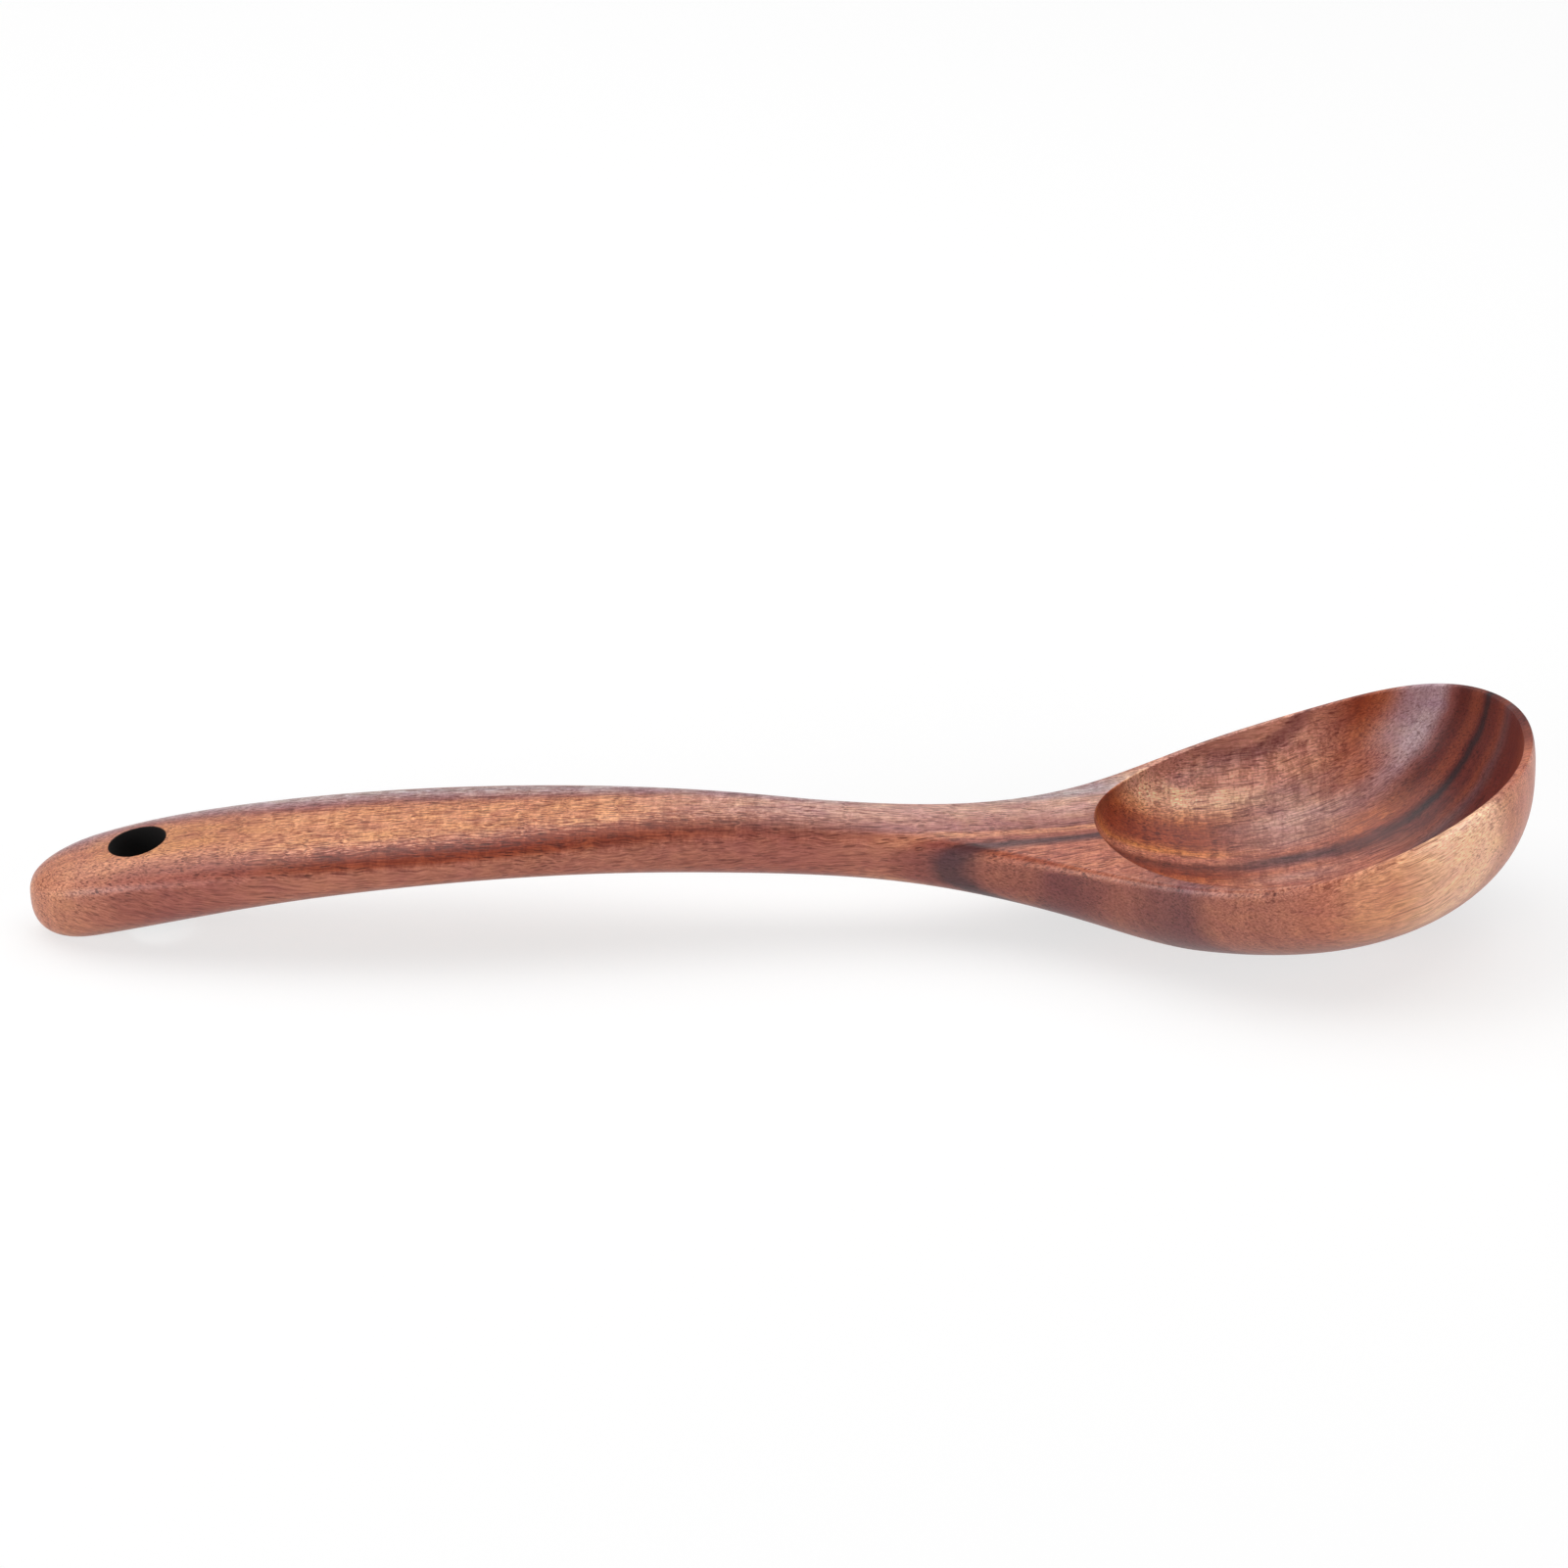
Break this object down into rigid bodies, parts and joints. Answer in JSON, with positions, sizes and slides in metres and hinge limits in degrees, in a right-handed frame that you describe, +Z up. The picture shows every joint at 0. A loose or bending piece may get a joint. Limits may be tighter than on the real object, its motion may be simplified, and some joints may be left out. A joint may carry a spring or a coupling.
{
  "type": "ladle",
  "caption": "Deep round-bowled serving ladle carved from one piece of oiled hardwood, with a broad arched grip, a slim neck and a hanging hole.",
  "frame": {"origin": "on the table, under the middle of the ladle's length and width", "axes": "+X from the handle's end to the tip of the bowl, +Z up out of the open bowl, +Y across the ladle"},
  "size_m": [0.32, 0.0784, 0.0455],
  "materials": {
    "oiled_wood": "satin oil"
  },
  "bodies": {
    "root": {"ladle": "oiled_wood"}
  },
  "joints": []
}
